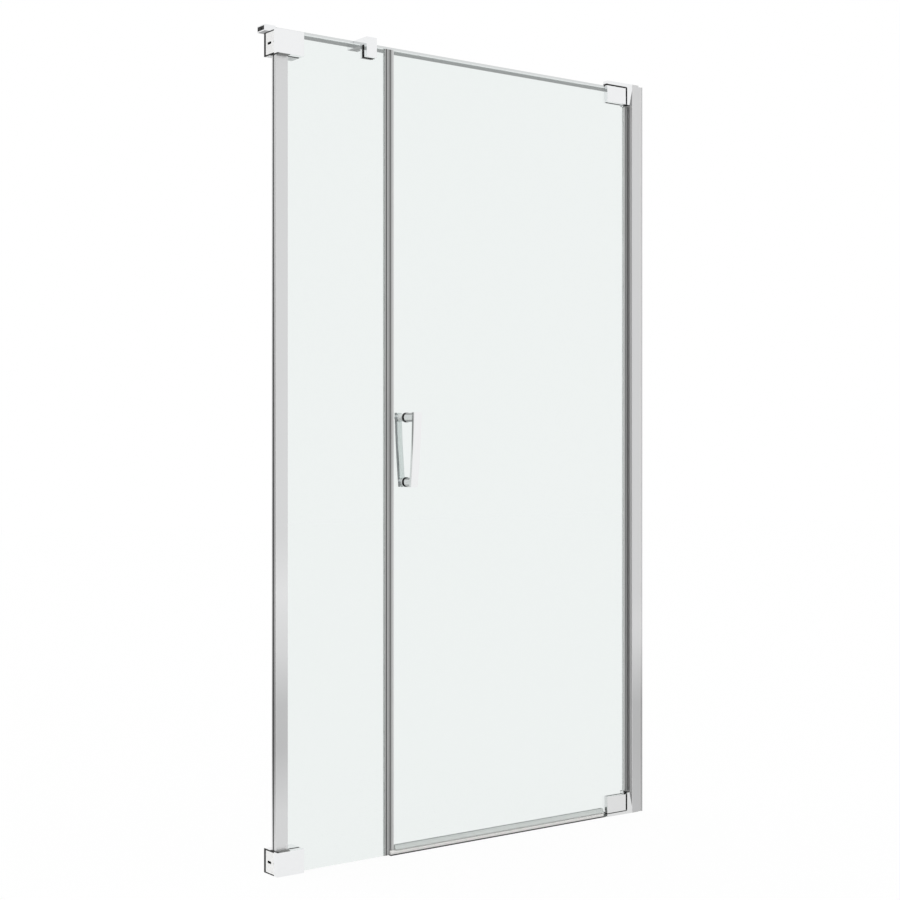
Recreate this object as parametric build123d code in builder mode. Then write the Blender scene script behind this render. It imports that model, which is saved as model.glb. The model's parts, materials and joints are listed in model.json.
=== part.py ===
import os
from build123d import *

os.makedirs("parts", exist_ok=True)

# Millimetres. X runs across the niche, +Y goes into the shower, +Z is up.
# The origin is on the floor, midway between the walls, in the middle of the glass.

# Niche and glass
overall_width = 1170.0
profile_height = 2000.0
glass_thickness = 8.0
glass_top_gap = 18.0        # from the profile's top down to the glass
door_glass_gap = 18.0       # from the floor up to the door glass
fixed_glass_gap = 1.5       # from the floor up to the fixed glass
fixed_glass_left = -573.0
fixed_glass_right = -262.5
door_glass_left = -250.0
door_glass_right = 531.0

wall_x = overall_width / 2
half_glass = glass_thickness / 2
glass_top = profile_height - glass_top_gap

# Wall profile on the hinge side, with the adjusting profile that slides over it
profile_depth = 32.0
profile_face_x = 546.0
adjusting_flange_end = 570.0
adjusting_wall = 1.8
wall_profile_step = 3.3     # the wall profile is cut this much shorter at the top
wall_profile_wall = 1.6
wall_flange_start = 556.0
profile_web = 2.0
wall_base = 3.0
profile_play = 0.1
wall_hole_count = 4
wall_hole_spacing = 560.0
wall_hole_first = 160.0
wall_hole_radius = 3.25
adjusting_screw_x = 563.0
adjusting_screw_heights = (150.0, 1000.0, 1850.0)
half_profile = profile_depth / 2

# Channel that takes the fixed glass at the other wall
channel_left = -582.0
channel_right = -549.6
channel_half = 9.0
channel_wall = 1.6
channel_web = 3.0
channel_seal = 1.4
channel_pad = 1.2           # rubber between the channel's ends and the brackets
channel_pad_front = -20.5
channel_pad_back = 12.0
gasket_right = -553.0

# Hinges, measured from the profile's end towards the middle of the door
pivot_x = 488.0
plate_left = 455.5
plate_right = 523.2
plate_height = 44.0
plate_face = 16.0
rear_plate_left = 464.0
rear_plate_face = 10.8
plate_start_top = 13.2
plate_start_bottom = 9.8
hinge_pad = 0.8
arm_inner_top = 9.5
arm_inner_bottom = 8.0
arm_free_end = 454.5
arm_taper = 0.8
arm_side_x = 528.0
arm_side_length = 57.5
arm_side_seat = 17.0
arm_side_tip_x = 536.5
liner = 0.8                 # black plate on the inner face of a bracket's arm
liner_cap = 1.0
pin_radius = 4.0
pin_start = 3.6
pin_end = 34.0
pin_play = 0.05
bush_radius = 6.0
bush_flange_radius = 8.5
boss_radius = 9.5
core_end = 40.0
core_left = 470.0
core_right = 520.5
hinge_screw_xs = (474.4, 509.0)
hinge_screw_depth = 14.0    # from the plate's outer edge
bracket_screw_y = 8.0
bracket_screw_z = 14.5
notch_left = 468.5
notch_end = 41.5
notch_step_x = 522.0
notch_step_end = 61.0

# Handle pair on the door
handle_x = -202.0
handle_low = 917.8
handle_high = 1077.9
leg_radius = 11.6
handle_washer_radius = 12.2
handle_reach_top = 45.7     # from the glass to the bar's face
handle_reach_bottom = 30.0
handle_bow = 0.38           # how far the bar has come in at half its height
handle_thickness = 8.5
handle_width_top = 24.2
handle_width_bottom = 21.5
inner_leg_radius = 10.0
inner_reach_top = 40.0
inner_reach_bottom = 24.0
inner_thickness = 10.0
inner_width = 15.5
handle_washer = 1.4
handle_hole_radius = 6.0

# Stabiliser bar behind and above the glass
bar_y = 55.0
bar_z = 1996.0
bar_depth = 30.0
bar_height = 10.0
bar_wall = 1.6
bar_end_gap = 10.0
sleeve_length = 30.0
sleeve_depth = 34.6
sleeve_height = 15.4
sleeve_play = 0.1
insert_length = 8.0
insert_hole_radius = 2.6

# Clamp between the fixed glass and the bar
clamp_x = -316.8
clamp_width = 30.0
clamp_face = 18.0
clamp_low = 1952.5
clamp_high = 2001.0
clamp_pad = 2.0
clamp_jaw = 8.0
clamp_screw_z = 1966.0

# Brackets that hold the fixed glass to the wall
bracket_width = 73.0
bracket_height = 56.8
bracket_front = -22.0
bracket_back = 40.2
bracket_skin = 2.0
bracket_rim = 1.5
bracket_rim_edge = 3.0
bracket_rim_back = 8.5
bracket_plate = 8.0
bracket_pad = 1.5
bracket_jaw = 6.5
bracket_screw_xs = (-556.0, -530.0)
bracket_slot_y = 15.5
bracket_slot_length = 17.0
bracket_slot_width = 6.0
glass_hole_radius = 6.0

# Seals
seal_skin = 1.25
seal_play = 0.05
seal_half = half_glass + seal_play + seal_skin
magnet_half = 4.0
fixed_seal_left = -270.2
fixed_seal_right = -256.5
fixed_magnet_left = -261.7
fixed_magnet_right = -257.5
door_seal_left = -256.0
door_seal_right = -243.5
door_magnet_left = -255.2
door_magnet_right = -251.2
hinge_seal_left = 525.5

# Threshold under the door
threshold_left = -256.0
threshold_right = 446.0
threshold_half = 11.0
threshold_height = 12.5
threshold_shoulder = 8.0    # where the steep side turns into the rounded top
threshold_tape = 1.8
threshold_block_end = 454.2
drip_bottom = 12.9
drip_top = 23.3
drip_right = 449.0


def save(solid, name):
    solid.label = name
    export_step(solid, f"parts/{name}.step")


def at_top(solid):
    # A hinge piece is drawn for the bottom corner and turned over for the top one
    return Pos(0, 0, profile_height) * mirror(solid, about=Plane.XY)


def span(x_low, x_high, y_low, y_high, mode=Mode.ADD):
    # A rectangle given by its sides, in the sketch that is open
    with Locations(((x_low + x_high) / 2, (y_low + y_high) / 2)):
        Rectangle(x_high - x_low, y_high - y_low, mode=mode)


def countersunk_screw(radius, head_radius, length):
    # Head up at the origin, shank down -Z
    with BuildPart() as screw:
        with BuildSketch(Plane.XZ):
            with BuildLine():
                Polyline(
                    (0, 0), (head_radius, 0), (radius, radius - head_radius),
                    (radius, -length), (0, -length), close=True,
                )
            make_face()
        revolve(axis=Axis.Z)
        with BuildSketch(Plane.XY):
            RegularPolygon(head_radius * 0.4, 6)
        extrude(amount=-head_radius * 0.35, mode=Mode.SUBTRACT)
    return screw.part


# Profiles on the hinge side

def make_wall_profile():
    half = half_profile - adjusting_wall - profile_play
    with BuildPart() as profile:
        with BuildSketch(Plane.XY):
            span(wall_flange_start, wall_x, -half, half)
            span(wall_x - wall_base, wall_x, -half_profile, half_profile)
            span(wall_flange_start, wall_x - profile_web,
                 wall_profile_wall - half, half - wall_profile_wall, Mode.SUBTRACT)
        extrude(amount=profile_height - wall_profile_step)
        with BuildSketch(Plane.YZ.offset(wall_x - profile_web)):
            for row in range(wall_hole_count):
                with Locations((0, wall_hole_first + row * wall_hole_spacing)):
                    Circle(wall_hole_radius)
        extrude(amount=profile_web, mode=Mode.SUBTRACT)
        with BuildSketch(Plane.XZ.offset(-half)):
            for height in adjusting_screw_heights:
                with Locations((adjusting_screw_x, height)):
                    Circle(2.3)
        extrude(amount=wall_profile_wall, mode=Mode.SUBTRACT)
    return profile.part


def make_adjusting_profile():
    with BuildPart() as profile:
        with BuildSketch(Plane.XY):
            span(profile_face_x, adjusting_flange_end, -half_profile, half_profile)
            span(profile_face_x + profile_web, adjusting_flange_end,
                 adjusting_wall - half_profile, half_profile - adjusting_wall, Mode.SUBTRACT)
        extrude(amount=profile_height)
        with BuildSketch(Plane.XZ.offset(-half_profile)):
            for height in adjusting_screw_heights:
                with Locations((adjusting_screw_x, height)):
                    Circle(2.6)
        extrude(amount=adjusting_wall, mode=Mode.SUBTRACT)
        with BuildSketch(Plane.YZ.offset(profile_face_x)):
            for height in (bracket_screw_z, profile_height - bracket_screw_z):
                with Locations((-bracket_screw_y, height), (bracket_screw_y, height)):
                    Circle(3.1)
        extrude(amount=profile_web, mode=Mode.SUBTRACT)
    return profile.part


def make_adjusting_screws():
    # Pan heads on the shower side lock the adjusting profile to the wall profile
    with BuildPart() as screws:
        with BuildSketch(Plane.XZ.offset(-half_profile)):
            for height in adjusting_screw_heights:
                with Locations((adjusting_screw_x, height)):
                    Circle(2.25)
        extrude(amount=6.0)
        with BuildSketch(Plane.XZ.offset(-half_profile)):
            for height in adjusting_screw_heights:
                with Locations((adjusting_screw_x, height)):
                    Circle(4.5)
        extrude(amount=-2.4)
        with BuildSketch(Plane.XZ.offset(-half_profile - 2.4)):
            for height in adjusting_screw_heights:
                with Locations((adjusting_screw_x, height)):
                    RegularPolygon(1.7, 6)
        extrude(amount=1.4, mode=Mode.SUBTRACT)
    return screws.part


# Hinges

def make_hinge_bracket(arm_inner):
    with BuildPart() as bracket:
        with BuildSketch(Plane.XZ.offset(-half_profile)) as outline:
            with BuildLine():
                Polyline(
                    (arm_free_end, arm_taper), (profile_face_x, 0),
                    (profile_face_x, arm_side_seat), (arm_side_tip_x, arm_side_length),
                    (arm_side_x, arm_side_length), (arm_side_x, arm_inner),
                    (arm_free_end, arm_inner), close=True,
                )
            make_face()
            corner = outline.vertices().sort_by_distance((arm_side_x, half_profile, arm_inner))
            fillet(corner[0], radius=2.0)
        extrude(amount=profile_depth)
        tips = bracket.edges().filter_by(Axis.Y).sort_by(Axis.X)
        fillet(tips[:2], radius=1.5)
        with BuildSketch(Plane.XY):
            with BuildLine():
                Polyline(
                    (arm_free_end - 1.0, 0.5), (arm_free_end, 0.5),
                    (arm_free_end + 14.5, half_profile), (arm_free_end + 14.5, half_profile + 1.0),
                    (arm_free_end - 1.0, half_profile + 1.0), close=True,
                )
            make_face()
        extrude(amount=arm_inner, mode=Mode.SUBTRACT)
        with BuildSketch(Plane.XY.offset(pin_start)):
            with Locations((pivot_x, 0)):
                Circle(pin_radius)
        extrude(amount=arm_inner, mode=Mode.SUBTRACT)
        with BuildSketch(Plane.YZ.offset(profile_face_x)):
            with Locations((-bracket_screw_y, bracket_screw_z), (bracket_screw_y, bracket_screw_z)):
                Circle(3.0)
        extrude(amount=-13.0, mode=Mode.SUBTRACT)
    return bracket.part


def make_bracket_screws():
    # Socket heads stand inside the adjusting profile, on the backing plate
    head_x = profile_face_x + profile_web + 3.0
    with BuildPart() as screws:
        with BuildSketch(Plane.YZ.offset(head_x)):
            with Locations((-bracket_screw_y, bracket_screw_z), (bracket_screw_y, bracket_screw_z)):
                Circle(2.95)
        extrude(amount=-17.0)
        with BuildSketch(Plane.YZ.offset(head_x)):
            with Locations((-bracket_screw_y, bracket_screw_z), (bracket_screw_y, bracket_screw_z)):
                Circle(5.0)
                RegularPolygon(2.8, 6, mode=Mode.SUBTRACT)
        extrude(amount=4.6)
    return screws.part


def make_backing_plate():
    with BuildPart() as plate:
        with BuildSketch(Plane.YZ.offset(profile_face_x + profile_web)):
            half = half_profile - adjusting_wall - profile_play
            span(-half, half, 2.0, 30.0)
            with Locations((-bracket_screw_y, bracket_screw_z), (bracket_screw_y, bracket_screw_z)):
                Circle(3.1, mode=Mode.SUBTRACT)
        extrude(amount=3.0)
    return plate.part


def make_hinge_pin():
    with BuildPart() as pin:
        with BuildSketch(Plane.XY.offset(pin_start)):
            with Locations((pivot_x, 0)):
                Circle(pin_radius)
        extrude(amount=pin_end - pin_start)
        chamfer(pin.edges().sort_by(Axis.Z)[-1], length=0.8)
    return pin.part


def make_hinge_liner(arm_inner):
    # A thin black plate round the bush on the arm, and a cap on the end of the arm's side
    edge = half_profile - 1.0
    with BuildPart() as plate:
        with BuildSketch(Plane.XY.offset(arm_inner)):
            with BuildLine():
                Polyline(
                    (arm_free_end + 2.5, -edge), (arm_side_x - 2.2, -edge), (arm_side_x - 2.2, edge),
                    (arm_free_end + 16.1, edge), (arm_free_end + 2.5, 0.5), close=True,
                )
            make_face()
            with Locations((pivot_x, 0)):
                Circle(bush_flange_radius + 0.7, mode=Mode.SUBTRACT)
        extrude(amount=liner)
        with BuildSketch(Plane.XY.offset(arm_side_length)):
            span(arm_side_x, arm_side_tip_x, -half_profile, half_profile)
        extrude(amount=liner_cap)
    return plate.part


def make_hinge_bush(arm_inner, start):
    with BuildPart() as bush:
        with BuildSketch(Plane.XY.offset(arm_inner + 0.2)):
            with Locations((pivot_x, 0)):
                Circle(bush_flange_radius)
        extrude(amount=start - arm_inner - 0.2)
        with BuildSketch(Plane.XY.offset(start)):
            with Locations((pivot_x, 0)):
                Circle(bush_radius)
        extrude(amount=core_end - 3.0 - start)
        with BuildSketch(Plane.XY.offset(arm_inner)):
            with Locations((pivot_x, 0)):
                Circle(pin_radius + pin_play)
        extrude(amount=pin_end + 1.0 - arm_inner, mode=Mode.SUBTRACT)
    return bush.part


def make_hinge_core(start):
    # The core fills the notch in the glass and carries the bush
    with BuildPart() as core:
        with BuildSketch(Plane.XY.offset(start)):
            span(core_left, core_right, -half_glass, half_glass)
            with Locations((pivot_x, 0)):
                Circle(boss_radius)
        extrude(amount=core_end - start)
        with BuildSketch(Plane.XY.offset(start)):
            with Locations((pivot_x, 0)):
                Circle(bush_radius)
        extrude(amount=core_end - 3.0 - start, mode=Mode.SUBTRACT)
        with BuildSketch(Plane.XZ.offset(-half_glass)):
            for x in hinge_screw_xs:
                with Locations((x, start + hinge_screw_depth)):
                    Circle(2.6)
        extrude(amount=glass_thickness, mode=Mode.SUBTRACT)
    return core.part


def make_hinge_plate(start, rear):
    # The plate's face is at -Y; the rear one is turned over about the glass
    seat = half_glass + hinge_pad
    left, face = (rear_plate_left, rear_plate_face) if rear else (plate_left, plate_face)
    with BuildPart() as plate:
        with BuildSketch(Plane.XZ.offset(seat)):
            span(left, plate_right, start, start + plate_height)
        extrude(amount=face - seat)
        fillet(plate.edges().group_by(Axis.Y)[0], radius=1.2)
        with BuildSketch(Plane.XY.offset(start)):
            with Locations((pivot_x, 0)):
                Circle(boss_radius + 0.2)
        extrude(amount=core_end + 0.5 - start, mode=Mode.SUBTRACT)
        for x in hinge_screw_xs:
            with Locations(Location((x, -face, start + hinge_screw_depth), (90, 0, 0))):
                if rear:
                    CounterSinkHole(radius=2.6, counter_sink_radius=5.1)
        if not rear:
            with BuildSketch(Plane.XZ.offset(seat)):
                for x in hinge_screw_xs:
                    with Locations((x, start + hinge_screw_depth)):
                        Circle(2.5)
            extrude(amount=8.0, mode=Mode.SUBTRACT)
    if rear:
        return mirror(plate.part, about=Plane.XZ)
    return plate.part


def make_hinge_pads(start):
    with BuildPart() as pads:
        for plane_y, left in ((half_glass, plate_left + 3.2), (-half_glass - hinge_pad, rear_plate_left + 0.6)):
            with BuildSketch(Plane.XZ.offset(plane_y)):
                span(left, plate_right - 0.5, start + 0.5, start + plate_height)
                span(pivot_x - boss_radius - 0.3, pivot_x + boss_radius + 0.3,
                     start, core_end + 0.5, Mode.SUBTRACT)
                for x in hinge_screw_xs:
                    with Locations((x, start + hinge_screw_depth)):
                        Circle(2.7, mode=Mode.SUBTRACT)
            extrude(amount=hinge_pad)
    return pads.part


def make_hinge_screws():
    # Countersunk in the rear plates, threaded into the front ones, top and bottom
    screw = countersunk_screw(radius=2.45, head_radius=5.0, length=22.0)
    heights = (plate_start_bottom + hinge_screw_depth,
               profile_height - plate_start_top - hinge_screw_depth)
    with BuildPart() as screws:
        for x in hinge_screw_xs:
            for z in heights:
                with Locations(Location((x, rear_plate_face - 0.1, z), (-90, 0, 0))):
                    add(screw)
    return screws.part


# Glass

def make_door_glass():
    with BuildPart() as glass:
        with BuildSketch(Plane.XZ.offset(-half_glass)) as outline:
            span(door_glass_left, door_glass_right, door_glass_gap, glass_top)
            for low, high in ((0, notch_end), (profile_height - notch_end, profile_height)):
                span(notch_left, door_glass_right, low, high, Mode.SUBTRACT)
            for low, high in ((0, notch_step_end), (profile_height - notch_step_end, profile_height)):
                span(notch_step_x, door_glass_right, low, high, Mode.SUBTRACT)
            for z in (handle_low, handle_high):
                with Locations((handle_x, z)):
                    Circle(handle_hole_radius, mode=Mode.SUBTRACT)
        extrude(amount=glass_thickness)
        corners = glass.edges().filter_by(Axis.Y).filter_by(GeomType.LINE)
        fillet(corners, radius=1.5)
    return glass.part


def make_fixed_glass():
    with BuildPart() as glass:
        with BuildSketch(Plane.XZ.offset(-half_glass)) as outline:
            span(fixed_glass_left, fixed_glass_right, fixed_glass_gap, glass_top)
            for x in bracket_screw_xs:
                for z in (bracket_centre(False), bracket_centre(True)):
                    with Locations((x, z)):
                        Circle(glass_hole_radius, mode=Mode.SUBTRACT)
            with Locations((clamp_x, clamp_screw_z)):
                Circle(glass_hole_radius, mode=Mode.SUBTRACT)
        extrude(amount=glass_thickness)
        corners = glass.edges().filter_by(Axis.Y).filter_by(GeomType.LINE)
        fillet(corners, radius=1.5)
    return glass.part


# Side channel and the two wall brackets

def bracket_base(top):
    # Where the bracket's drawn zero lies: the glass edge that it is flush with
    return glass_top if top else 1.0


def bracket_centre(top):
    side = -1 if top else 1
    return bracket_base(top) + side * bracket_height / 2


def place_bracket(solid, top):
    if top:
        solid = mirror(solid, about=Plane.XY)
    return Pos(0, 0, bracket_base(top)) * solid


channel_low = bracket_base(False) + bracket_height + channel_pad
channel_high = bracket_base(True) - bracket_height - channel_pad


def make_side_channel():
    inner = channel_half - channel_wall
    with BuildPart() as channel:
        with BuildSketch(Plane.XY.offset(channel_low)):
            span(channel_left, channel_right, -channel_half, channel_half)
            span(channel_left + channel_web, channel_right, -inner, inner, Mode.SUBTRACT)
            span(channel_left, channel_left + channel_seal, 0.3, 3.4, Mode.SUBTRACT)
        extrude(amount=channel_high - channel_low)
        corners = channel.edges().filter_by(Axis.Z)
        front_corner = corners.sort_by_distance((channel_left, -channel_half, channel_low))
        chamfer(front_corner[0], length=1.0)
    return channel.part


def make_channel_seal():
    # A strip in the groove of the channel's back, a gasket on each side of the glass,
    # and a pad between each end of the channel and the bracket there
    inner = channel_half - channel_wall
    with BuildPart() as seal:
        with BuildSketch(Plane.XY.offset(channel_low)):
            span(channel_left, channel_left + channel_seal, 0.3, 3.4)
            span(fixed_glass_left, gasket_right, -inner, -half_glass)
            span(fixed_glass_left, gasket_right, half_glass, inner)
        extrude(amount=channel_high - channel_low)
        for start in (channel_low - channel_pad, channel_high):
            with BuildSketch(Plane.XY.offset(start)):
                span(-wall_x, channel_right, channel_pad_front, channel_pad_back)
                span(fixed_glass_left, channel_right, -half_glass, half_glass, Mode.SUBTRACT)
            extrude(amount=channel_pad)
    return seal.part


bracket_right = bracket_width - wall_x
bracket_seat = half_glass + bracket_pad
bracket_mid = bracket_height / 2


def make_bracket_body():
    # Plate against the wall and the jaw behind the glass, in one casting
    with BuildPart() as body:
        with BuildSketch(Plane.XY.offset(bracket_rim_edge)):
            span(-wall_x, bracket_plate - wall_x, -bracket_seat, bracket_back - bracket_rim_back)
            span(bracket_plate - wall_x, bracket_right - bracket_skin,
                 bracket_seat, bracket_seat + bracket_jaw)
        extrude(amount=bracket_height - 2 * bracket_rim_edge)
        with BuildSketch(Plane.YZ.offset(-wall_x)):
            with Locations((bracket_slot_y, bracket_mid)):
                SlotOverall(bracket_slot_length, bracket_slot_width)
            with Locations((-3.2, bracket_mid)):
                Circle(1.5)
        extrude(amount=bracket_plate, mode=Mode.SUBTRACT)
        for x in bracket_screw_xs:
            with Locations(Location((x, bracket_seat + bracket_jaw, bracket_mid), (-90, 0, 0))):
                CounterSinkHole(radius=3.1, counter_sink_radius=5.6, depth=bracket_jaw)
    return body.part


def make_bracket_front():
    with BuildPart() as front:
        with BuildSketch(Plane.XY):
            span(-wall_x, bracket_right, bracket_front, -bracket_seat)
        extrude(amount=bracket_height)
        fillet(front.edges().group_by(Axis.Y)[0], radius=1.2)
        with BuildSketch(Plane.XZ.offset(bracket_seat)):
            for x in bracket_screw_xs:
                with Locations((x, bracket_mid)):
                    Circle(3.0)
        extrude(amount=8.0, mode=Mode.SUBTRACT)
    return front.part


def make_bracket_cover():
    # Open towards the wall and towards the glass
    with BuildPart() as cover:
        with BuildSketch(Plane.XY):
            span(bracket_rim - wall_x, bracket_right, bracket_seat, bracket_back)
        extrude(amount=bracket_height)
        fillet(cover.edges().group_by(Axis.Y)[-1], radius=1.2)
        with BuildSketch(Plane.XY.offset(bracket_skin)):
            span(bracket_rim - wall_x, bracket_right - bracket_skin,
                 bracket_seat, bracket_back - bracket_skin)
        extrude(amount=bracket_height - 2 * bracket_skin, mode=Mode.SUBTRACT)
    return cover.part


def make_bracket_rim():
    with BuildPart() as rim:
        with BuildSketch(Plane.YZ.offset(-wall_x)):
            span(-bracket_seat, bracket_back, 0, bracket_height)
            span(-bracket_seat, bracket_back - bracket_rim_back,
                 bracket_rim_edge, bracket_height - bracket_rim_edge, Mode.SUBTRACT)
        extrude(amount=bracket_rim)
    return rim.part


def make_bracket_pads():
    with BuildPart() as pads:
        with BuildSketch(Plane.XZ.offset(-bracket_seat)):
            span(fixed_glass_left, bracket_right - 0.3, 0.5, bracket_height)
            for x in bracket_screw_xs:
                with Locations((x, bracket_mid)):
                    Circle(glass_hole_radius, mode=Mode.SUBTRACT)
        extrude(amount=bracket_pad)
        mirror(about=Plane.XZ)
    return pads.part


def make_bracket_clamp_screws():
    screw = countersunk_screw(radius=2.9, head_radius=5.5, length=24.0)
    with BuildPart() as screws:
        for x in bracket_screw_xs:
            for z in (bracket_centre(False), bracket_centre(True)):
                with Locations(Location((x, bracket_seat + bracket_jaw - 0.1, z), (-90, 0, 0))):
                    add(screw)
    return screws.part


# Stabiliser bar with its wall sleeves and the clamp on the glass

def make_stabiliser_bar():
    end = wall_x - bar_end_gap
    with BuildPart() as bar:
        with BuildSketch(Plane.YZ.offset(-end)):
            with Locations((bar_y, bar_z)):
                RectangleRounded(bar_depth, bar_height, 1.0)
                Rectangle(bar_depth - 2 * bar_wall, bar_height - 2 * bar_wall, mode=Mode.SUBTRACT)
        extrude(amount=2 * end)
        with BuildSketch(Plane.XY.offset(bar_z - bar_height / 2)):
            with Locations((clamp_x, bar_y - 7), (clamp_x, bar_y + 7)):
                Circle(2.3)
        extrude(amount=bar_wall, mode=Mode.SUBTRACT)
    return bar.part


def make_bar_sleeve():
    with BuildPart() as sleeve:
        with BuildSketch(Plane.YZ.offset(-wall_x)):
            with Locations((bar_y, bar_z)):
                RectangleRounded(sleeve_depth, sleeve_height, 1.2)
                Rectangle(bar_depth + 2 * sleeve_play, bar_height + 2 * sleeve_play,
                          mode=Mode.SUBTRACT)
        extrude(amount=sleeve_length)
        with BuildSketch(Plane.XY.offset(bar_z - sleeve_height / 2)):
            with Locations((sleeve_length * 0.7 - wall_x, bar_y)):
                Circle(2.5)
        extrude(amount=sleeve_height / 2 - bar_height / 2, mode=Mode.SUBTRACT)
    return sleeve.part


def make_bar_inserts():
    with BuildPart() as inserts:
        with BuildSketch(Plane.YZ.offset(1.0 - wall_x)):
            with Locations((bar_y, bar_z)):
                Rectangle(bar_depth + 2 * sleeve_play, bar_height + 2 * sleeve_play)
                Circle(insert_hole_radius, mode=Mode.SUBTRACT)
        extrude(amount=insert_length)
        mirror(about=Plane.YZ)
    return inserts.part


def make_bar_grub_screws():
    with BuildPart() as screws:
        with BuildSketch(Plane.XY.offset(bar_z - sleeve_height / 2 + 0.4)):
            with Locations((sleeve_length * 0.7 - wall_x, bar_y)):
                Circle(2.45)
        extrude(amount=sleeve_height / 2 - bar_height / 2 - 0.4)
        with BuildSketch(Plane.XY.offset(bar_z - sleeve_height / 2 + 0.4)):
            with Locations((sleeve_length * 0.7 - wall_x, bar_y)):
                RegularPolygon(1.3, 6)
        extrude(amount=1.2, mode=Mode.SUBTRACT)
        mirror(about=Plane.YZ)
    return screws.part


clamp_seat = half_glass + clamp_pad
bar_low = bar_z - bar_height / 2
clamp_under = glass_top + 1.5


def make_clamp_body():
    # Jaw behind the glass, arm over its top edge, tongue under the bar
    front_of_bar = bar_y - bar_depth / 2 - 0.5
    with BuildPart() as body:
        with BuildSketch(Plane.YZ.offset(clamp_x - clamp_width / 2)) as outline:
            with BuildLine():
                Polyline(
                    (-clamp_seat, clamp_high), (-clamp_seat, clamp_under),
                    (clamp_seat, clamp_under), (clamp_seat, clamp_low),
                    (clamp_seat + clamp_jaw, clamp_low), (clamp_seat + clamp_jaw, clamp_under),
                    (bar_y + bar_depth / 2 + 2, clamp_under), (bar_y + bar_depth / 2 + 2, bar_low),
                    (front_of_bar, bar_low), (front_of_bar, clamp_high), close=True,
                )
            make_face()
        extrude(amount=clamp_width)
        with Locations(Location((clamp_x, clamp_seat + clamp_jaw, clamp_screw_z), (-90, 0, 0))):
            CounterSinkHole(radius=3.1, counter_sink_radius=5.6, depth=clamp_jaw)
        for y in (bar_y - 7, bar_y + 7):
            with Locations(Location((clamp_x, y, clamp_under), (180, 0, 0))):
                CounterSinkHole(radius=2.5, counter_sink_radius=4.4, depth=bar_low - clamp_under)
    return body.part


def make_clamp_front():
    with BuildPart() as front:
        with BuildSketch(Plane.XZ.offset(clamp_seat)):
            span(clamp_x - clamp_width / 2, clamp_x + clamp_width / 2, clamp_low, clamp_high)
        extrude(amount=clamp_face - clamp_seat)
        fillet(front.edges().group_by(Axis.Y)[0], radius=1.2)
        with BuildSketch(Plane.XZ.offset(clamp_seat)):
            with Locations((clamp_x, clamp_screw_z)):
                Circle(3.0)
        extrude(amount=8.0, mode=Mode.SUBTRACT)
    return front.part


def make_clamp_pads():
    with BuildPart() as pads:
        with BuildSketch(Plane.XZ.offset(-clamp_seat)):
            span(clamp_x - clamp_width / 2 - 0.6, clamp_x + clamp_width / 2 + 0.6,
                 clamp_low - 0.8, glass_top)
            with Locations((clamp_x, clamp_screw_z)):
                Circle(glass_hole_radius, mode=Mode.SUBTRACT)
        extrude(amount=clamp_pad)
        mirror(about=Plane.XZ)
    return pads.part


def make_clamp_screws():
    glass_screw = countersunk_screw(radius=2.9, head_radius=5.5, length=26.0)
    bar_screw = countersunk_screw(radius=2.25, head_radius=4.2, length=8.9)
    with BuildPart() as screws:
        with Locations(Location((clamp_x, clamp_seat + clamp_jaw - 0.1, clamp_screw_z), (-90, 0, 0))):
            add(glass_screw)
        for y in (bar_y - 7, bar_y + 7):
            with Locations(Location((clamp_x, y, clamp_under + 0.1), (180, 0, 0))):
                add(bar_screw)
    return screws.part


# Seals and magnet strips

def make_fixed_magnet_seal():
    with BuildPart() as seal:
        with BuildSketch(Plane.XY.offset(fixed_glass_gap)):
            span(fixed_seal_left, fixed_seal_right, -seal_half, seal_half)
            span(fixed_seal_left, fixed_glass_right, -half_glass - seal_play,
                 half_glass + seal_play, Mode.SUBTRACT)
            span(fixed_magnet_left, fixed_magnet_right, -magnet_half, magnet_half, Mode.SUBTRACT)
        extrude(amount=glass_top - fixed_glass_gap)
    return seal.part


def make_fixed_magnet():
    with BuildPart() as magnet:
        with BuildSketch(Plane.XY.offset(fixed_glass_gap)):
            span(fixed_magnet_left, fixed_magnet_right, -magnet_half, magnet_half)
        extrude(amount=glass_top - fixed_glass_gap)
    return magnet.part


def make_door_magnet_seal():
    with BuildPart() as seal:
        with BuildSketch(Plane.XY.offset(drip_bottom + 0.7)):
            span(door_seal_left, door_seal_right, -seal_half, seal_half)
            span(door_glass_left, door_seal_right, -half_glass - seal_play,
                 half_glass + seal_play, Mode.SUBTRACT)
            span(door_magnet_left, door_magnet_right, -magnet_half, magnet_half, Mode.SUBTRACT)
        extrude(amount=glass_top - drip_bottom - 0.7)
    return seal.part


def make_door_magnet():
    with BuildPart() as magnet:
        with BuildSketch(Plane.XY.offset(drip_bottom + 0.7)):
            span(door_magnet_left, door_magnet_right, -magnet_half, magnet_half)
        extrude(amount=glass_top - drip_bottom - 0.7)
    return magnet.part


def make_hinge_side_seal():
    # Clip on the glass edge with a hollow bulb towards the profile
    bulb_x = door_glass_right + seal_skin + 6.0
    with BuildPart() as seal:
        with BuildSketch(Plane.XY.offset(notch_step_end + 0.3)):
            span(hinge_seal_left, door_glass_right + seal_skin, -seal_half, seal_half)
            with Locations((bulb_x, 0)):
                Ellipse(6.2, seal_half)
                Ellipse(5.0, seal_half - 1.1, mode=Mode.SUBTRACT)
            span(hinge_seal_left, door_glass_right, -half_glass - seal_play,
                 half_glass + seal_play, Mode.SUBTRACT)
        extrude(amount=profile_height - 2 * notch_step_end - 0.6)
    return seal.part


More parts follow.
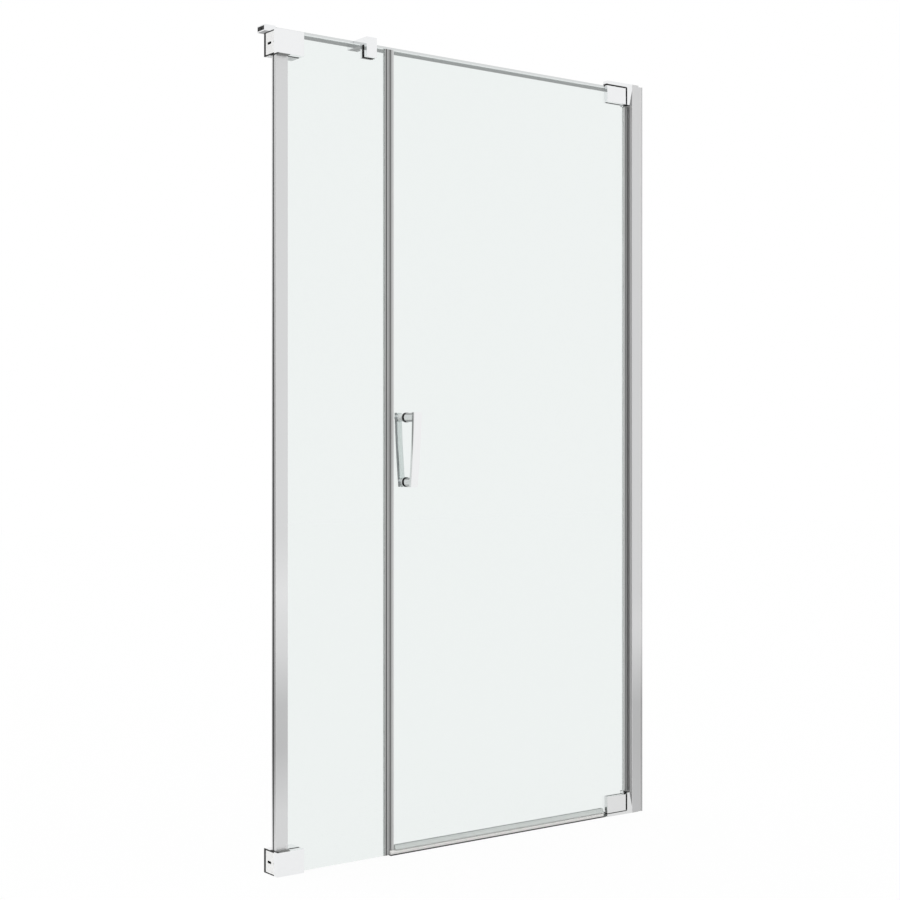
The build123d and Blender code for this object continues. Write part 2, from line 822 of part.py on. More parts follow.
def make_drip_seal():
    # Clip under the door glass with two water fins and a wiper
    grip = half_glass + seal_play
    with BuildPart() as seal:
        with BuildSketch(Plane.YZ.offset(-240.5)):
            span(-seal_half, seal_half, drip_bottom + 0.9, drip_top)
            span(-grip, grip, door_glass_gap, drip_top, Mode.SUBTRACT)
            span(-grip + 0.6, grip - 0.6, drip_bottom + 2.0, door_glass_gap - 1.0, Mode.SUBTRACT)
            with BuildLine():
                Polyline((-seal_half, 18.6), (-11.0, 13.4), (-10.6, 12.9), (-seal_half, 17.2),
                         close=True)
            make_face()
            with BuildLine():
                Polyline((seal_half, 18.6), (11.0, 13.4), (10.6, 12.9), (seal_half, 17.2),
                         close=True)
            make_face()
            span(-0.6, 0.6, drip_bottom, drip_bottom + 1.0)
        extrude(amount=drip_right + 240.5)
    return seal.part


# Threshold

def make_threshold():
    with BuildPart() as sill:
        with BuildSketch(Plane.YZ.offset(threshold_left)):
            with BuildLine():
                Polyline((-threshold_half + 0.6, threshold_shoulder), (-threshold_half, threshold_tape),
                         (threshold_half, threshold_tape), (threshold_half - 0.6, threshold_shoulder))
                ThreePointArc((threshold_half - 0.6, threshold_shoulder), (0, threshold_height),
                              (-threshold_half + 0.6, threshold_shoulder))
            make_face()
        extrude(amount=threshold_right - threshold_left)
    return sill.part


def make_threshold_tape():
    with BuildPart() as tape:
        with BuildSketch(Plane.XY):
            span(threshold_left, threshold_right, -threshold_half, threshold_half)
        extrude(amount=threshold_tape)
        with BuildSketch(Plane.XY):
            span(threshold_right, threshold_block_end, -threshold_half, threshold_half)
        extrude(amount=threshold_shoulder)
    return tape.part


# Handles

def make_handle(reach_top, reach_bottom, width_top, width_bottom, thickness, leg):
    # A bowed bar on two round legs, drawn as the outer handle; it comes in towards its lower end
    top = handle_high + handle_washer_radius
    bottom = handle_low - handle_washer_radius
    face_top = -half_glass - reach_top
    face_bottom = -half_glass - reach_bottom
    middle = (face_top + handle_bow * (face_bottom - face_top), (top + bottom) / 2)
    with BuildPart() as handle:
        with BuildSketch(Plane.YZ.offset(handle_x - width_top)):
            with BuildLine():
                ThreePointArc((face_top, top), middle, (face_bottom, bottom))
                Line((face_bottom, bottom), (face_bottom + thickness, bottom))
                ThreePointArc((face_bottom + thickness, bottom),
                              (middle[0] + thickness, middle[1]), (face_top + thickness, top))
                Line((face_top + thickness, top), (face_top, top))
            make_face()
        extrude(amount=2 * width_top)
        with BuildSketch(Plane.XZ):
            with BuildLine():
                Polyline((handle_x - width_top / 2, top), (handle_x + width_top / 2, top),
                         (handle_x + width_bottom / 2, bottom), (handle_x - width_bottom / 2, bottom),
                         close=True)
            make_face()
        extrude(amount=100.0, mode=Mode.INTERSECT)
        chamfer(handle.edges().filter_by(lambda edge: edge.length > 100), length=0.9)
        for z, face in ((handle_high, face_top), (handle_low, face_bottom)):
            with BuildSketch(Plane.XZ.offset(half_glass + handle_washer)):
                with Locations((handle_x, z)):
                    Circle(leg)
            extrude(amount=-face - half_glass - handle_washer - 3.0)
        with BuildSketch(Plane.XZ.offset(half_glass)):
            with Locations((handle_x, handle_low), (handle_x, handle_high)):
                Circle(3.0)
        extrude(amount=20.0, mode=Mode.SUBTRACT)
    return handle.part


def make_handle_washers():
    with BuildPart() as washers:
        with BuildSketch(Plane.XZ.offset(half_glass)):
            with Locations((handle_x, handle_low), (handle_x, handle_high)):
                Circle(handle_washer_radius)
                Circle(3.1, mode=Mode.SUBTRACT)
        extrude(amount=handle_washer)
        mirror(about=Plane.XZ)
    return washers.part


def make_handle_bushes():
    with BuildPart() as bushes:
        with BuildSketch(Plane.XZ.offset(-half_glass)):
            with Locations((handle_x, handle_low), (handle_x, handle_high)):
                Circle(handle_hole_radius)
                Circle(3.1, mode=Mode.SUBTRACT)
        extrude(amount=glass_thickness)
    return bushes.part


def make_handle_bolts():
    with BuildPart() as bolts:
        with BuildSketch(Plane.XZ.offset(-22.0)):
            with Locations((handle_x, handle_low), (handle_x, handle_high)):
                Circle(2.95)
        extrude(amount=44.0)
    return bolts.part


# Everything on the wall and on the fixed glass

save(make_wall_profile(), "wall_profile")
save(make_adjusting_profile(), "adjusting_profile")
save(make_adjusting_screws(), "adjusting_screws")
save(make_side_channel(), "side_channel")
save(make_channel_seal(), "side_channel_seal")
save(make_fixed_glass(), "fixed_glass")
save(make_fixed_magnet_seal(), "fixed_magnet_seal")
save(make_fixed_magnet(), "fixed_magnet")

for corner, top in (("upper", True), ("lower", False)):
    save(place_bracket(make_bracket_body(), top), f"{corner}_bracket_body")
    save(place_bracket(make_bracket_front(), top), f"{corner}_bracket_front")
    save(place_bracket(make_bracket_cover(), top), f"{corner}_bracket_cover")
    save(place_bracket(make_bracket_rim(), top), f"{corner}_bracket_rim")
    save(place_bracket(make_bracket_pads(), top), f"{corner}_bracket_pads")
save(make_bracket_clamp_screws(), "bracket_clamp_screws")

save(make_stabiliser_bar(), "stabiliser_bar")
save(make_bar_sleeve(), "left_bar_sleeve")
save(mirror(make_bar_sleeve(), about=Plane.YZ), "right_bar_sleeve")
save(make_bar_inserts(), "bar_wall_inserts")
save(make_bar_grub_screws(), "bar_grub_screws")
save(make_clamp_body(), "bar_clamp_body")
save(make_clamp_front(), "bar_clamp_front")
save(make_clamp_pads(), "bar_clamp_pads")
save(make_clamp_screws(), "bar_clamp_screws")

save(make_threshold(), "threshold")
save(make_threshold_tape(), "threshold_tape")

# Hinges: the bracket side first, then what turns with the door

save(at_top(make_hinge_bracket(arm_inner_top)), "top_hinge_bracket")
save(make_hinge_bracket(arm_inner_bottom), "bottom_hinge_bracket")
liners = Compound(children=[*at_top(make_hinge_liner(arm_inner_top)).solids(),
                            *make_hinge_liner(arm_inner_bottom).solids()])
save(liners, "hinge_liners")
save(at_top(make_backing_plate()), "top_backing_plate")
save(make_backing_plate(), "bottom_backing_plate")
save(at_top(make_bracket_screws()), "top_bracket_screws")
save(make_bracket_screws(), "bottom_bracket_screws")
save(at_top(make_hinge_pin()), "top_hinge_pin")
save(make_hinge_pin(), "bottom_hinge_pin")

save(at_top(make_hinge_bush(arm_inner_top, plate_start_top)), "top_hinge_bush")
save(make_hinge_bush(arm_inner_bottom, plate_start_bottom), "bottom_hinge_bush")
save(at_top(make_hinge_core(plate_start_top)), "top_hinge_core")
save(make_hinge_core(plate_start_bottom), "bottom_hinge_core")
for rear, side in ((False, "front"), (True, "rear")):
    save(at_top(make_hinge_plate(plate_start_top, rear)), f"top_hinge_{side}_plate")
    save(make_hinge_plate(plate_start_bottom, rear), f"bottom_hinge_{side}_plate")
save(at_top(make_hinge_pads(plate_start_top)), "top_hinge_pads")
save(make_hinge_pads(plate_start_bottom), "bottom_hinge_pads")
save(make_hinge_screws(), "hinge_clamp_screws")

# The rest of the door

save(make_door_glass(), "door_glass")
save(make_door_magnet_seal(), "door_magnet_seal")
save(make_door_magnet(), "door_magnet")
save(make_hinge_side_seal(), "hinge_side_seal")
save(make_drip_seal(), "drip_seal")
outer_handle = make_handle(handle_reach_top, handle_reach_bottom, handle_width_top,
                           handle_width_bottom, handle_thickness, leg_radius)
inner_handle = make_handle(inner_reach_top, inner_reach_bottom, inner_width,
                           inner_width, inner_thickness, inner_leg_radius)
save(outer_handle, "outer_handle")
save(mirror(inner_handle, about=Plane.XZ), "inner_handle")
save(make_handle_washers(), "handle_washers")
save(make_handle_bushes(), "handle_bushes")
save(make_handle_bolts(), "handle_bolts")
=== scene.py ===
import json
import math

import bmesh
import bpy
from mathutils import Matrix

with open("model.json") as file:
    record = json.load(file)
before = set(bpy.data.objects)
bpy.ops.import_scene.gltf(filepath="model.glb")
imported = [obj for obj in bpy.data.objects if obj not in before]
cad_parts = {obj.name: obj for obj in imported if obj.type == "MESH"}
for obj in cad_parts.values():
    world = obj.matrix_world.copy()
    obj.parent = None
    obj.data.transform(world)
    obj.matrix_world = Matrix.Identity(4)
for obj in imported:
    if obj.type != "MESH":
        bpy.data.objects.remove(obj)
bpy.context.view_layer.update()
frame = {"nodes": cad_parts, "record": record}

nodes = frame["nodes"]
print("frame loaded:", len(nodes), "nodes")

millimetres = 1000.0  # in a metre
facingShare = 0.5  # a surface faces along an axis when its normal's part there is larger
white = (1.0, 1.0, 1.0)


# A socket with operators, so that shader maths reads as an expression
class Value:
    def __init__(self, tree, socket):
        self.tree = tree
        self.socket = socket

    def maths(self, operation, first, second):
        return addNode(self.tree, "Math", {"operation": operation}, {0: first, 1: second})

    def __add__(self, other):
        return self.maths("ADD", self, other)

    def __radd__(self, other):
        return self.maths("ADD", other, self)

    def __sub__(self, other):
        return self.maths("SUBTRACT", self, other)

    def __rsub__(self, other):
        return self.maths("SUBTRACT", other, self)

    def __mul__(self, other):
        return self.maths("MULTIPLY", self, other)

    def __rmul__(self, other):
        return self.maths("MULTIPLY", other, self)

    def __truediv__(self, other):
        return self.maths("DIVIDE", self, other)

    def __rtruediv__(self, other):
        return self.maths("DIVIDE", other, self)

    def __lt__(self, other):
        return self.maths("LESS_THAN", self, other)

    def __gt__(self, other):
        return self.maths("GREATER_THAN", self, other)

    def __abs__(self):
        return self.maths("ABSOLUTE", self, 0.0)

    # From 0 to 1 as the value goes from near to far, with soft ends
    def ease(self, near, far):
        return addNode(self.tree, "MapRange", {"interpolation_type": "SMOOTHSTEP"},
                       {"Value": self, "From Min": near, "From Max": far})


# Any other node: its settings first, then the values or links of its sockets
def addNode(tree, kind, settings=None, sockets=None, out=0):
    node = tree.nodes.new("ShaderNode" + kind)
    for name, value in (settings or {}).items():
        if name == "stops":
            for extra in range(len(value) - 2):  # a new ramp already has two stops
                node.color_ramp.elements.new(0.5)
            for stop, (place, colour) in zip(node.color_ramp.elements, value):
                stop.position = place
                stop.color = (*colour, 1.0)
        else:
            setattr(node, name, value)
    for name, value in (sockets or {}).items():
        socket = node.inputs[name]
        if isinstance(value, Value):
            tree.links.new(value.socket, socket)
        elif socket.type == "RGBA":
            socket.default_value = (*value, 1.0)
        else:
            socket.default_value = value
    return Value(tree, node.outputs[out])


# One material with its nodes
class Finish:
    def __init__(self, name):
        self.material = bpy.data.materials.new(name)
        self.material.use_nodes = True
        self.tree = self.material.node_tree
        self.tree.nodes.clear()
        self.output = self.tree.nodes.new("ShaderNodeOutputMaterial")

    def add(self, kind, settings=None, sockets=None, out=0):
        return addNode(self.tree, kind, settings, sockets, out)

    # A Mix node takes colours at its inputs 6 and 7, and gives one at its output 2
    def tint(self, factor, first, second):
        return self.add("Mix", {"data_type": "RGBA"}, {0: factor, 6: first, 7: second}, 2)

    # Where a point of the object lies along one axis, in metres
    def axis(self, letter, source="Object"):
        spot = self.add("TexCoord", out=source)
        return self.add("SeparateXYZ", sockets={"Vector": spot}, out=letter)

    # How far the surface faces along one axis, from -1 to 1
    def facing(self, letter):
        return self.axis(letter, "Normal")

    def noise(self, fineness, detail=2.0, stretch=(1, 1, 1)):
        spot = self.add("TexCoord", out="Object")
        stretched = self.add("Mapping", sockets={"Vector": spot, "Scale": stretch})
        return self.add("TexNoise", sockets={
            "Vector": stretched, "Scale": fineness, "Detail": detail})

    def bump(self, height, strength, distance):
        return self.add("Bump", sockets={
            "Height": height, "Strength": strength, "Distance": distance})

    # Roughness and bump that follow the same noise
    def grained(self, noise, look):
        return {
            "Roughness": look["roughness"] + noise * look["roughnessSpread"],
            "Normal": self.bump(noise, look["grain"], look["grainDepth"]),
        }

    # Bands of tone along one axis, given as places in millimetres and greys
    def bands(self, letter, bands, tint=white):
        first, last = bands[0][0], bands[-1][0]
        factor = (self.axis(letter) * millimetres - first) / (last - first)
        stops = [((place - first) / (last - first), tuple(tone * part for part in tint))
                 for place, tone in bands]
        return self.add("ValToRGB", {"stops": stops}, {0: factor})

    def show(self, shader):
        self.tree.links.new(shader.socket, self.output.inputs["Surface"])
        return self.material

    def surface(self, sockets):
        return self.show(self.add("BsdfPrincipled", sockets=sockets))


# Plated metal, with faint smudges and a ripple in its reflections
chromeLook = {
    "colour": (0.88, 0.885, 0.89),
    "smudge": (0.84, 0.85, 0.86),
    "smudgeFineness": 9.0,
    "roughness": 0.045,
    "roughnessSpread": 0.03,
    "ripple": 0.02,
    "rippleFineness": 60.0,
    "rippleDepth": 0.0004,
}
barLook = dict(chromeLook, colour=(0.70, 0.72, 0.72), smudge=(0.66, 0.68, 0.68), roughness=0.07)
coverLook = dict(chromeLook, colour=(0.90, 0.905, 0.91), smudge=(0.86, 0.87, 0.88), underside=1.0)
lowerHingeLook = dict(chromeLook, colour=(0.75, 0.755, 0.755), smudge=(0.71, 0.715, 0.715),
                      roughness=0.06)


def makeChrome(name, look):
    finish = Finish(name)
    patches = finish.noise(look["smudgeFineness"])
    ripple = finish.noise(look["rippleFineness"])
    metallic = 1.0
    if "underside" in look:  # how matt the upper bracket cover's underside is
        metallic = 1.0 - (finish.facing("Z") < -facingShare) * look["underside"]
    return finish.surface({
        "Base Color": finish.tint(patches, look["smudge"], look["colour"]),
        "Metallic": metallic,
        "Roughness": look["roughness"] + patches * look["roughnessSpread"],
        "Normal": finish.bump(ripple, look["ripple"], look["rippleDepth"]),
    })


# Handles: painted shade keeps the sides and the faces in the gaps among the legs darker than the
# front
outerHandleLook = {
    "front": (0.86, 0.865, 0.87),
    "side": (0.70, 0.71, 0.71),
    "between": (0.40, 0.40, 0.40),
    "roughness": 0.05,
    "roughnessSpread": 0.03,
    "grain": 0.02,
    "grainFineness": 60.0,
    "grainDepth": 0.0004,
}
innerHandleLook = dict(
    outerHandleLook,
    front=(0.79, 0.81, 0.81),
    side=(0.50, 0.53, 0.54),
    between=(0.60, 0.60, 0.60),
    # painted light: the inner handle's legs are lighter
    leg=(0.90, 0.91, 0.91),
    legMatt=0.7,
    legFoot=0.905,  # metres up
    legReach=13.0,  # millimetres back, at the foot
    legGrowth=86.0,  # millimetres further back for each metre up
)


def makeHandle(name, look):
    finish = Finish(name)
    ripple = finish.noise(look["grainFineness"])
    # painted shade on the sides and on the faces that look up or down
    colour = finish.tint(finish.facing("X") < -facingShare, look["front"], look["side"])
    colour = finish.tint(abs(finish.facing("Z")) > facingShare, colour, look["between"])
    metallic = 1.0
    if "leg" in look:  # the inner handle's legs grow longer upward
        reach = (finish.axis("Z") - look["legFoot"]) * look["legGrowth"] + look["legReach"]
        onLeg = finish.axis("Y") * millimetres < reach
        # painted light: the legs are lighter and less metallic than the rest
        colour = finish.tint(onLeg, colour, look["leg"])
        metallic = 1.0 - onLeg * look["legMatt"]
    return finish.surface({
        "Base Color": colour,
        "Metallic": metallic,
        **finish.grained(ripple, look),
    })


# Satin anodised profiles: the tones by height are painted light, the room's soft gradient painted
# on them
satinLook = {
    "tint": (0.995, 1.0, 1.005),
    "roughness": 0.34,
    "roughnessSpread": 0.08,
    "grain": 0.12,
    "grainFineness": 1.0,
    "grainDetail": 3.0,
    "grainStretch": (900, 900, 6),
    "grainDepth": 0.0001,
}
channelLook = dict(
    satinLook,
    bands=[(0, 0.75), (150, 0.73), (300, 0.57), (400, 0.58), (520, 0.73),
           (660, 0.82), (800, 0.73), (2000, 0.69)],
    shade=(0.01, 0.01, 0.01),  # beside the gasket, left of the line
    line=-581.5,
    gasketMiddle=0.0021,
    gasketHalf=0.0023,
)
wallProfileLook = dict(
    satinLook,
    bands=[(0, 0.53), (200, 0.495), (300, 0.497), (460, 0.67), (520, 0.70),
           (600, 0.67), (2000, 0.67)],
    # painted light and shade across the web behind the door seal
    web=[(-16, 0.66), (-12.5, 0.68), (-8.6, 0.84), (-7.2, 0.46), (16, 0.46)],
    webEdge=547.5,
    webMatt=0.8,
    recess=(577.5, 582.3),
    recessLight=1.16,
)


def makeProfile(name, look):
    finish = Finish(name)
    grain = finish.noise(look["grainFineness"], look["grainDetail"], look["grainStretch"])
    colour = finish.bands("Z", look["bands"], look["tint"])
    metallic = 1.0
    if "recess" in look:  # painted light: the recess is lighter
        near, far = look["recess"]
        middle, half = (near + far) / 2 / millimetres, (far - near) / 2 / millimetres
        litRecess = finish.bands("Z", look["bands"], (look["recessLight"],) * 3)
        colour = finish.tint(abs(finish.axis("X") - middle) < half, colour, litRecess)
    if "web" in look:  # the web behind the door seal carries painted light and shade in bands across it, and is left matt
        onWeb = finish.axis("X") < look["webEdge"] / millimetres
        colour = finish.tint(onWeb, colour, finish.bands("Y", look["web"]))
        metallic = 1.0 - onWeb * look["webMatt"]
    if "shade" in look:
        besideGasket = abs(finish.axis("Y") - look["gasketMiddle"]) < look["gasketHalf"]
        inShade = besideGasket * (finish.axis("X") < look["line"] / millimetres)
        colour = finish.tint(inShade, colour, look["shade"])
    return finish.surface({
        "Base Color": colour,
        "Metallic": metallic,
        **finish.grained(grain, look),
    })


# Painted shade: the fixing slots in the two brackets are dark inside
zincLook = {
    "colour": (0.95, 0.95, 0.945),
    "dark": (0.89, 0.89, 0.885),
    "shine": 0.4,
    "roughness": 0.42,
    "roughnessSpread": 0.15,
    "grain": 0.25,
    "grainFineness": 900.0,
    "grainDetail": 4.0,
    "grainDepth": 0.0002,
    "slot": (0.015, 0.015, 0.015),
    "slotY": 0.0155,
    "slotZ": (0.0294, 1.9536),
    "slotSize": (0.0092, 0.0034),
    "face": -0.5847,
}


def makeZinc(name, look):
    finish = Finish(name)
    grain = finish.noise(look["grainFineness"], look["grainDetail"])
    length, height = look["slotSize"]
    lower, upper = [abs(finish.axis("Z") - place) < height for place in look["slotZ"]]
    behindFace = finish.axis("X") > look["face"]
    inSlot = (lower + upper) * (abs(finish.axis("Y") - look["slotY"]) < length) * behindFace
    underside = finish.facing("Z") < -facingShare  # left matt
    skin = finish.tint(grain, look["dark"], look["colour"])
    return finish.surface({
        # painted shade inside the slots
        "Base Color": finish.tint(inSlot, skin, look["slot"]),
        "Metallic": look["shine"] - underside * look["shine"],
        **finish.grained(grain, look),
    })


steelLook = {
    "colour": (0.62, 0.62, 0.63),
    "dark": (0.50, 0.50, 0.51),
    "roughness": 0.28,
    "roughnessSpread": 0.1,
    "grain": 0.1,
    "grainFineness": 400.0,
    "grainDepth": 0.0001,
}


def makeSteel(name, look):
    finish = Finish(name)
    grain = finish.noise(look["grainFineness"])
    return finish.surface({
        "Base Color": finish.tint(grain, look["dark"], look["colour"]),
        "Metallic": 1.0,
        **finish.grained(grain, look),
    })


# Clear glass with green edges and soft patches of painted reflection in the pane
glassLook = {
    "colour": (0.862, 0.892, 0.884),
    "cloudAndReflection": (0.845, 0.884, 0.872),
    "reflectionFineness": 1.1,
    "reflectionDetail": 2.0,
    "reflectionStretch": (1, 1, 0.6),
    "edge": (0.30, 0.52, 0.45),
    "ior": 1.5,
}


def makeGlass(name, look):
    finish = Finish(name)
    cloudAndReflection = finish.noise(look["reflectionFineness"], look["reflectionDetail"], look["reflectionStretch"])
    onEdge = abs(finish.facing("Y")) < facingShare
    # painted reflection: soft patches of a slightly different tone across the pane
    pane = finish.tint(cloudAndReflection, look["cloudAndReflection"], look["colour"])
    return finish.surface({
        "Base Color": finish.tint(onEdge, pane, look["edge"]),
        "Roughness": 0.0,
        "IOR": look["ior"],
        "Transmission Weight": 1.0,
    })


# Moulded plastics, a little cloudy
mouldedLook = {
    "roughnessSpread": 0.08,
    "grain": 0.05,
    "grainFineness": 30.0,
    "grainDepth": 0.0003,
    "darkShare": 0.95,
}
dripSealLook = dict(mouldedLook, colour=(0.66, 0.70, 0.68), roughness=0.35)
whitePlasticLook = dict(mouldedLook, colour=(0.78, 0.78, 0.76), roughness=0.4)
darkScrewLook = dict(mouldedLook, colour=(0.015, 0.015, 0.015), roughness=0.3)
handleBushLook = dict(mouldedLook, colour=(0.60, 0.62, 0.61), roughness=0.3)


def makePlastic(name, look):
    finish = Finish(name)
    cloudAndReflection = finish.noise(look["grainFineness"])
    darker = tuple(channel * look["darkShare"] for channel in look["colour"])
    return finish.surface({
        "Base Color": finish.tint(cloudAndReflection, darker, look["colour"]),
        **finish.grained(cloudAndReflection, look),
    })


# The glass edge and the magnet show through the clear profiles as dark lines; painted shade
# darkens the gap where the two seals meet
magnetSealLook = dict(
    mouldedLook,
    bands=[(-270.2, 0.52), (-267.6, 0.32), (-267.0, 0.05), (-264.4, 0.05), (-263.8, 0.42),
           (-259.7, 0.34), (-256.6, 0.36), (-255.6, 0.17), (-252.6, 0.08), (-251.8, 0.36),
           (-247.8, 0.51), (-243.5, 0.66)],
    tint=(0.99, 1.0, 0.995),
    rear=(0.97, 0.99, 0.98),
    rearStart=0.001,
    clear=0.4,
    roughness=0.26,
)
# The hinge-side seal's bulb carries painted shade in its bands, darkest towards the profile
hingeSealLook = dict(
    magnetSealLook,
    bands=[(525.5, 0.72), (528.6, 0.36), (530.2, 0.14), (532.2, 0.16), (534.2, 0.34),
           (536.2, 0.20), (538.0, 0.11), (543.0, 0.09), (544.5, 0.14)],
    tint=(0.98, 1.0, 0.99),
    rear=(0.98, 1.0, 0.99),
    clear=0.6,
)


# Behind the glass a seal is partly see-through
def makeBandedSeal(name, look):
    finish = Finish(name)
    cloudAndReflection = finish.noise(look["grainFineness"])
    atRear = finish.axis("Y") > look["rearStart"]
    front = finish.bands("X", look["bands"], look["tint"])
    return finish.surface({
        "Base Color": finish.tint(atRear, front, look["rear"]),
        "Alpha": 1.0 - atRear * look["clear"],
        **finish.grained(cloudAndReflection, look),
    })


sillLook = dict(
    mouldedLook,
    # painted shade at the foot, painted light along the top
    bands=[(0, 0.10), (3.3, 0.10), (3.5, 0.72), (7.2, 0.74), (8.2, 0.95), (20, 0.98)],
    tint=(1.0, 0.99, 0.97),
    roughness=0.35,
)


# A pale sill with painted shade at its foot, in the joint to the tray, and painted light along its
# top under the drip seal
def makeSill(name, look):
    finish = Finish(name)
    cloudAndReflection = finish.noise(look["grainFineness"])
    return finish.surface({
        "Base Color": finish.bands("Z", look["bands"], look["tint"]),
        **finish.grained(cloudAndReflection, look),
    })


rubberLook = {
    "colour": (0.006, 0.006, 0.006),
    "lightShare": 1.5,
    "lightLift": 0.004,
    "roughness": 0.6,
    "roughnessSpread": 0.1,
    "grain": 0.2,
    "grainFineness": 700.0,
    "grainDetail": 3.0,
    "grainDepth": 0.0002,
}
magnetLook = dict(rubberLook, colour=(0.05, 0.05, 0.055), roughness=0.5)
blackPlasticLook = dict(rubberLook, colour=(0.012, 0.012, 0.012), roughness=0.5)


def makeRubber(name, look):
    finish = Finish(name)
    grain = finish.noise(look["grainFineness"], look["grainDetail"])
    lighter = tuple(channel * look["lightShare"] + look["lightLift"] for channel in look["colour"])
    return finish.surface({
        "Base Color": finish.tint(grain, look["colour"], lighter),
        **finish.grained(grain, look),
    })


# Black in the channel's back, grey where the pads show under the brackets
channelSealLook = {
    "turn": -580.0,
    "black": (0.002, 0.002, 0.002),
    "grey": (0.20, 0.205, 0.20),
    "roughness": 0.55,
}
# Black tape under the threshold, a grey block at its right end
tapeLook = dict(channelSealLook, turn=445.9, black=(0.006, 0.006, 0.006), grey=(0.13, 0.14, 0.135))


def makeTwoToneRubber(name, look):
    finish = Finish(name)
    onRight = finish.axis("X") > look["turn"] / millimetres
    return finish.surface({
        "Base Color": finish.tint(onRight, look["black"], look["grey"]),
        "Roughness": look["roughness"],
    })


# Finishes by material slot, and the nodes that have their own
finishes = {
    "chrome": makeChrome("chrome", chromeLook),
    "bar_chrome": makeChrome("barChrome", chromeLook),
    "polished_profile": makeProfile("wallProfile", wallProfileLook),
    "aluminium": makeProfile("channel", channelLook),
    "zinc": makeZinc("zinc", zincLook),
    "screw_steel": makeSteel("screwSteel", steelLook),
    "glass": makeGlass("glass", glassLook),
    "clear_seal": makeBandedSeal("magnetSeal", magnetSealLook),
    "drip_seal": makePlastic("dripSeal", dripSealLook),
    "magnet": makeRubber("magnet", magnetLook),
    "rubber": makeRubber("rubber", rubberLook),
    "black_plastic": makeRubber("blackPlastic", blackPlasticLook),
    "white_plastic": makePlastic("whitePlastic", whitePlasticLook),
    "sill": makeSill("sill", sillLook),
}
ownFinishes = {
    "stabiliser_bar": makeChrome("bar", barLook),
    "upper_bracket_cover": makeChrome("cover", coverLook),
    "bottom_hinge_bracket": makeChrome("lowerHinge", lowerHingeLook),
    "bottom_hinge_front_plate": makeChrome("lowerPlate", lowerHingeLook),
    "outer_handle": makeHandle("outerHandle", outerHandleLook),
    "inner_handle": makeHandle("innerHandle", innerHandleLook),
    "wall_profile": finishes["polished_profile"],
    "bracket_clamp_screws": makePlastic("darkScrews", darkScrewLook),
    "hinge_side_seal": makeBandedSeal("hingeSeal", hingeSealLook),
    "handle_bushes": makePlastic("handleBushes", handleBushLook),
    "side_channel_seal": makeTwoToneRubber("channelSeal", channelSealLook),
    "threshold_tape": makeTwoToneRubber("thresholdTape", tapeLook),
}
for entry in frame["record"]["subparts"]:
    mesh = nodes[entry["node"]].data
    mesh.materials.clear()
    mesh.materials.append(ownFinishes.get(entry["node"]) or finishes[entry["material_slot"]])
print("finishes given to", len(nodes), "nodes")


# Small rounded edges that catch the light

edgeLook = {
    "width": 0.0005,
    "segments": 2,
    "sharperThan": 40,
    "nodes": [
        "top_hinge_bracket", "bottom_hinge_bracket", "bar_clamp_body", "bar_clamp_front",
        "upper_bracket_body", "lower_bracket_body", "upper_bracket_cover", "lower_bracket_cover",
        "left_bar_sleeve", "right_bar_sleeve", "outer_handle", "inner_handle", "threshold",
    ],
}
for name in edgeLook["nodes"]:
    bevel = nodes[name].modifiers.new("edge", "BEVEL")
    bevel.width = edgeLook["width"]
    bevel.segments = edgeLook["segments"]
    bevel.limit_method = "ANGLE"
    bevel.angle_limit = math.radians(edgeLook["sharperThan"])
print("edges rounded on", len(edgeLook["nodes"]), "nodes")


# Whether a ray comes from the camera, through glass or from a mirror
def rayKinds(tree):
    kinds = ("Is Camera Ray", "Is Transmission Ray", "Is Glossy Ray")
    return [addNode(tree, "LightPath", out=kind) for kind in kinds]


# A white floor that keeps the shadow; mirrored, it darkens with distance behind the door
floorLook = {
    "size": 30.0,
    "depth": 0.0005,
    "plain": 0.95,
    "mirroredPlain": 0.9,
    "dark": 0.34,
    "turn": (0.1, 1.2),
}


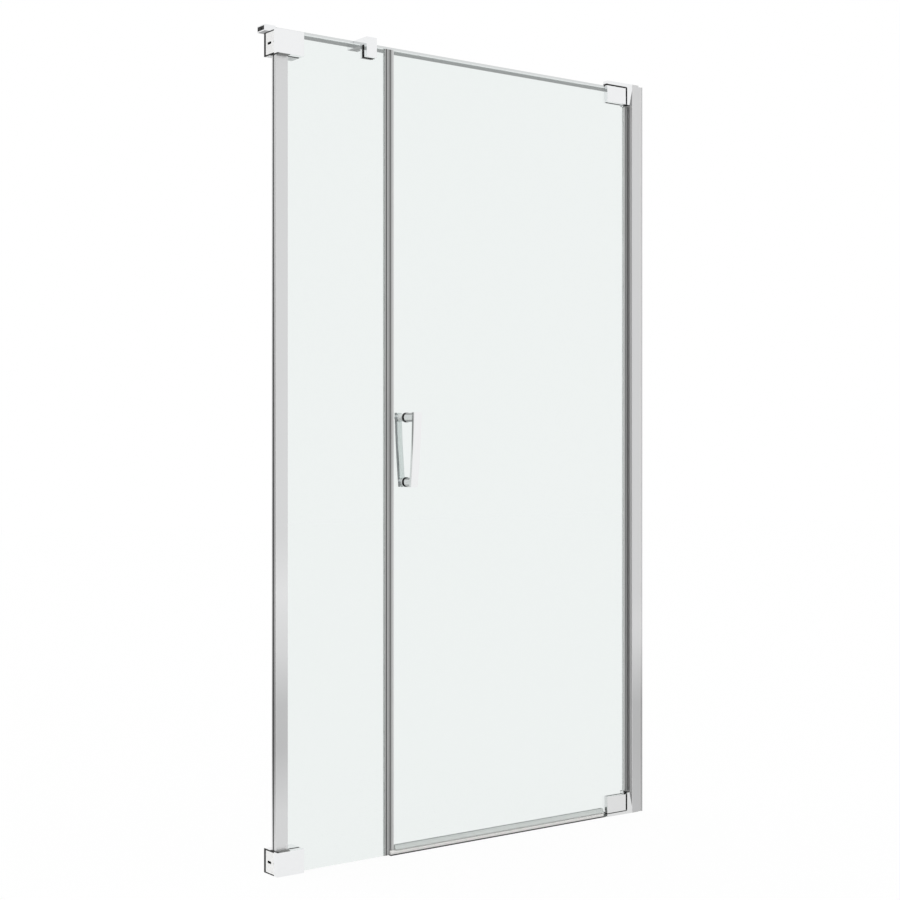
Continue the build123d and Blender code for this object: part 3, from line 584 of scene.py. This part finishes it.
def makeFloor(look):
    size = look["size"] / 2
    mesh = bpy.data.meshes.new("floor")
    build = bmesh.new()
    corners = [build.verts.new((x, y, -look["depth"]))
               for x, y in ((-size, -size), (size, -size), (size, size), (-size, size))]
    build.faces.new(corners)
    build.to_mesh(mesh)
    build.free()
    floor = bpy.data.objects.new("floor", mesh)
    bpy.context.scene.collection.objects.link(floor)
    finish = Finish("floor")
    seen, through, glossy = rayKinds(finish.tree)
    mirrored = glossy * (1.0 - through)
    behind = finish.axis("Y").ease(*look["turn"])
    darker = finish.tint(behind * mirrored, white, (look["dark"],) * 3)
    diffuse = finish.add("BsdfDiffuse", sockets={"Color": white})
    plain = finish.add("Emission", sockets={"Color": darker, "Strength": 1.0})
    share = (seen + through) * look["plain"] + mirrored * look["mirroredPlain"]
    finish.show(finish.add("MixShader", sockets={0: share, 1: diffuse, 2: plain}))
    mesh.materials.append(finish.material)


makeFloor(floorLook)

# The mirrored room is dark in a low belt behind the door and light above it
worldLook = {"light": 0.97, "dark": 0.42, "turn": (0.05, 0.6), "belt": (0.08, 0.20)}


def makeWorld(look):
    world = bpy.data.worlds.new("studio")
    bpy.context.scene.world = world
    world.use_nodes = True
    tree = world.node_tree
    tree.nodes.clear()
    output = tree.nodes.new("ShaderNodeOutputWorld")
    direction = addNode(tree, "TexCoord", out="Generated")
    toBack = addNode(tree, "SeparateXYZ", sockets={"Vector": direction}, out="Y")
    upward = addNode(tree, "SeparateXYZ", sockets={"Vector": direction}, out="Z")
    behind = toBack.ease(*look["turn"])
    above = upward.ease(*look["belt"])
    seen, through, mirrored = rayKinds(tree)
    direct = seen + through
    plain = direct.maths("MINIMUM", direct, 1.0)
    studio = 1.0 - behind * (1.0 - above) * (1.0 - look["dark"])
    rest = mirrored * studio + (1.0 - mirrored) * look["light"]
    strength = plain + (1.0 - plain) * rest
    shine = addNode(tree, "Background", sockets={"Color": white, "Strength": strength})
    tree.links.new(shine.socket, output.inputs["Surface"])


makeWorld(worldLook)

cameraLook = {
    "place": (-2.5544, -3.3218, 1.006),
    "turn": -36.83,
    "lens": 65.6,
    "sensor": 36.0,
    "shift": -0.0039,
}


def makeCamera(look):
    data = bpy.data.cameras.new("camera")
    data.lens = look["lens"]
    data.sensor_width = look["sensor"]
    data.shift_y = look["shift"]
    camera = bpy.data.objects.new("camera", data)
    camera.location = look["place"]
    camera.rotation_euler = (math.radians(90), 0.0, math.radians(look["turn"]))
    bpy.context.scene.collection.objects.link(camera)
    bpy.context.scene.camera = camera


makeCamera(cameraLook)
bpy.context.scene.view_settings.view_transform = "Standard"
print("stage and camera set")
